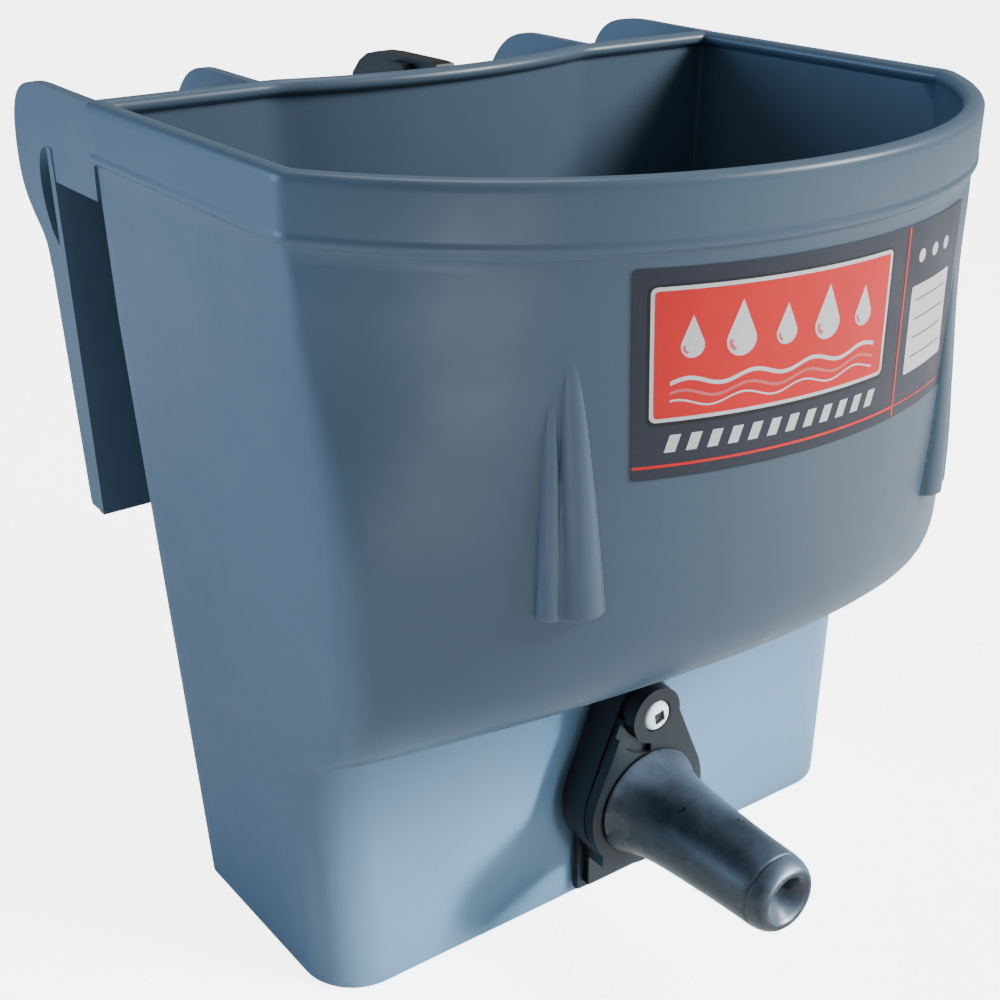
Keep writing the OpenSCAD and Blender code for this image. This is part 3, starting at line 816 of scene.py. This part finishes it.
# ---------------------------------------------------------------- teat
def teat_profile():
    f = 138.0
    p = [(14.0, 121.2), (14.0, f + 8), (11.4, f + 18), (9.6, f + 57), (2.6, f + 61), (2.4, f + 65), (4.2, f + 66.6), (5.0, f + 68.2), (5.9, f + 69.8), (7.0, f + 71.4), (8.1, f + 72.7), (9.0, f + 73.5),
         (9.9, f + 73.9), (10.8, f + 73.95), (11.7, f + 73.6), (12.6, f + 72.8), (13.4, f + 71.6), (13.95, f + 70.2), (14.3, f + 68.9), (14.45, f + 68.2), (14.5, f + 67.9), (14.2, f + 67.6), (14.18, f + 67.2),
         (14.5, f + 66.9), (14.72, f + 66.2), (14.8, f + 62), (15.05, f + 54), (15.5, f + 44), (16.1, f + 34), (16.7, f + 25), (17.4, f + 17.5), (18.2, f + 11.5), (19.2, f + 7.2), (20.4, f + 4.2), (21.6, f + 2.2),
         (22.3, f + 1.2), (22.4, f + 0.75), (22.1, f + 0.4), (20.8, f + 0.35), (20.8, 132.7), (23.9, 132.7), (23.9, 121.2)]
    return p


def warp(r, d, a, k):
    # a soft turned part is never quite round
    w = 0.10 * math.sin(2 * a + 0.7) + 0.06 * math.sin(3 * a + d * 0.05)
    return r + (w if d > 142 and r > 8 else 0.0)


pr = teat_profile()
teat = lathe("teat_rubber", pr + [pr[0]], (0, 0, TEAT_Z), (0, -1, 0), [RUBBER], n=112, warp=warp, cap=False, angle=40)
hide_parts("teat")

# ---------------------------------------------------------------- pivot screw
HUB_Y = -141.0
head = [(3.0, 100.7), (3.0, 140.0), (5.3, 140.05), (5.7, 140.25), (5.7, 140.7), (5.5, 141.15), (4.95, 141.65), (4.2, 142.05), (3.2, 142.28), (2.2, 142.38)]
screw = lathe("pivot_screw_turned", head, (0, 0, PIV_Z), (0, -1, 0), [SCREW, SOCKET_SHADE], n=72, angle=30)
sock = tool_cyl(0, PIV_Z, 3.15, -146.0, -140.75, 4)
turn = Matrix.Translation((0, 0, PIV_Z * MM)) @ Matrix.Rotation(math.radians(33), 4, "Y") @ Matrix.Translation((0, 0, -PIV_Z * MM))
sock.data.transform(turn)
cut(screw, [sock])
# faces inside the socket take the second material, painted shade in the recess
for pl in screw.data.polygons:
    c = pl.center
    if c.y / MM - Y0 / MM < -140.7 and math.hypot(c.x / MM, c.z / MM - PIV_Z) < 2.9 and (abs(pl.normal.y) < 0.5 or c.y / MM - Y0 / MM > -140.9):
        pl.material_index = 1
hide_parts("pivot_screw")

# ---------------------------------------------------------------- everything else: the CAD's own shape, with edges and material
mat_of = {
    "hanger_shelf": SLATE, "hanger_tail": SLATE, "latch_bracket": BLACK, "latch_lever": BLACK, "latch_pin": STEEL, "latch_spring": SPRING, "latch_screws": STEEL, "latch_nuts": STEEL, "pin_clips": SPRING,
    "holder_housing": BLACK, "holder_gasket": RUBBER, "jaw_left": BLACK, "jaw_right": BLACK, "pivot_washer": STEEL, "backing_plate": STEEL, "pivot_nut": STEEL, "housing_screws": STEEL}
for n, m in mat_of.items():
    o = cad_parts[n]
    o.data.materials.clear()
    o.data.materials.append(m)
for n, w in (("holder_housing", 0.8), ("jaw_left", 0.5), ("jaw_right", 0.5), ("latch_lever", 0.7), ("latch_bracket", 0.5), ("backing_plate", 0.3)):
    bevel(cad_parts[n], w, 2, 40.0, dissolve=True)

# ---------------------------------------------------------------- stage
def stage_material(name, col, rough, glow):
    m, nt, b = nodes_of(name)
    v = coords(nt)
    tone = ramp(nt, noise(nt, v, 1.5, 2.0), [(0.3, tuple(c * 0.985 for c in col)), (0.7, col)])
    nt.links.new(tone, b.inputs["Base Color"])
    nt.links.new(tone, b.inputs["Emission Color"])
    path = nt.nodes.new("ShaderNodeLightPath")
    nt.links.new(mapr(nt, path.outputs["Is Camera Ray"], 0.0, glow), b.inputs["Emission Strength"])
    b.inputs["Roughness"].default_value = rough
    return m


bm = bmesh.new()
bmesh.ops.create_grid(bm, x_segments=1, y_segments=1, size=6.0)
me = bpy.data.meshes.new("floor")
bm.to_mesh(me)
bm.free()
me.materials.append(stage_material("floor_paper", (0.88, 0.88, 0.88), 0.8, 5.5))
floor = bpy.data.objects.new("floor", me)
floor.location = (0, 0, -0.0002)
bpy.context.scene.collection.objects.link(floor)

world = bpy.data.worlds.new("studio")
bpy.context.scene.world = world
world.use_nodes = True
wt = world.node_tree
bg = wt.nodes["Background"]
lp = wt.nodes.new("ShaderNodeLightPath")
wm_ = wt.nodes.new("ShaderNodeMapRange")
wm_.inputs["To Min"].default_value = 0.24
wm_.inputs["To Max"].default_value = 7.0
wt.links.new(lp.outputs["Is Camera Ray"], wm_.inputs["Value"])
wt.links.new(wm_.outputs["Result"], bg.inputs["Strength"])
bg.inputs["Color"].default_value = (0.86, 0.93, 1.0, 1)


def area(name, loc, target, size, power, col=(1, 1, 1), size_y=None):
    d = bpy.data.lights.new(name, "AREA")
    d.energy = power
    d.color = col
    d.shape = "RECTANGLE"
    d.size = size
    d.size_y = size_y or size
    o = bpy.data.objects.new(name, d)
    o.location = loc
    o.rotation_mode = "QUATERNION"
    o.rotation_quaternion = (Vector(target) - Vector(loc)).to_track_quat("-Z", "Y")
    bpy.context.scene.collection.objects.link(o)
    return o


area("key_right", (0.95, -0.95, 1.00), (0.0, -0.05, 0.24), 0.5, 33.0, (1.0, 0.985, 0.96))
for k, (tz, pw) in enumerate(((0.012, 0.36), (0.072, 0.42))):
    beam = area(f"low_beam_{k}", (0.525, -0.90, 0.270 + tz), (-0.025, -0.110, tz), 0.42, pw, (0.66, 0.87, 1.0), 0.03)
    beam.data.spread = math.radians(9)
fill = area("low_fill", (0.10, -1.05, 0.16), (-0.04, -0.115, 0.045), 0.35, 0.11, (0.62, 0.84, 1.0), 0.03)
fill.data.spread = math.radians(9)
area("side_left", (-1.5, 1.05, 0.55), (0, 0, 0.12), 1.0, 24, (0.42, 0.66, 1.0))
area("top_soft", (0.1, 0.4, 1.8), (0, 0, 0.2), 0.8, 9, (0.90, 0.96, 1.0))
area("floor_card", (-0.65, -0.74, 0.006), (-0.65, -0.74, 1.0), 0.16, 3.0, (0.95, 0.97, 1.0), 0.6)

# ---------------------------------------------------------------- camera
yaw, pitch, roll = math.radians(36.07), math.radians(24.28), -0.003
f = Vector((math.sin(yaw) * math.cos(pitch), math.cos(yaw) * math.cos(pitch), -math.sin(pitch)))
r = Vector((math.cos(yaw), -math.sin(yaw), 0.0))
u = r.cross(f)
right = r * math.cos(roll) + u * math.sin(roll)
up = u * math.cos(roll) - r * math.sin(roll)
cam_data = bpy.data.cameras.new("camera")
cam_data.lens = 56.82
cam_data.sensor_width = 36.0
cam_data.clip_start = 0.01
cam = bpy.data.objects.new("camera", cam_data)
M = Matrix.Identity(4)
for i in range(3):
    M[i][0], M[i][1], M[i][2] = right[i], up[i], -f[i]
M[0][3], M[1][3], M[2][3] = -0.3406, -0.5102 + Y0, 0.3997
cam.matrix_world = M
bpy.context.scene.collection.objects.link(cam)
bpy.context.scene.camera = cam
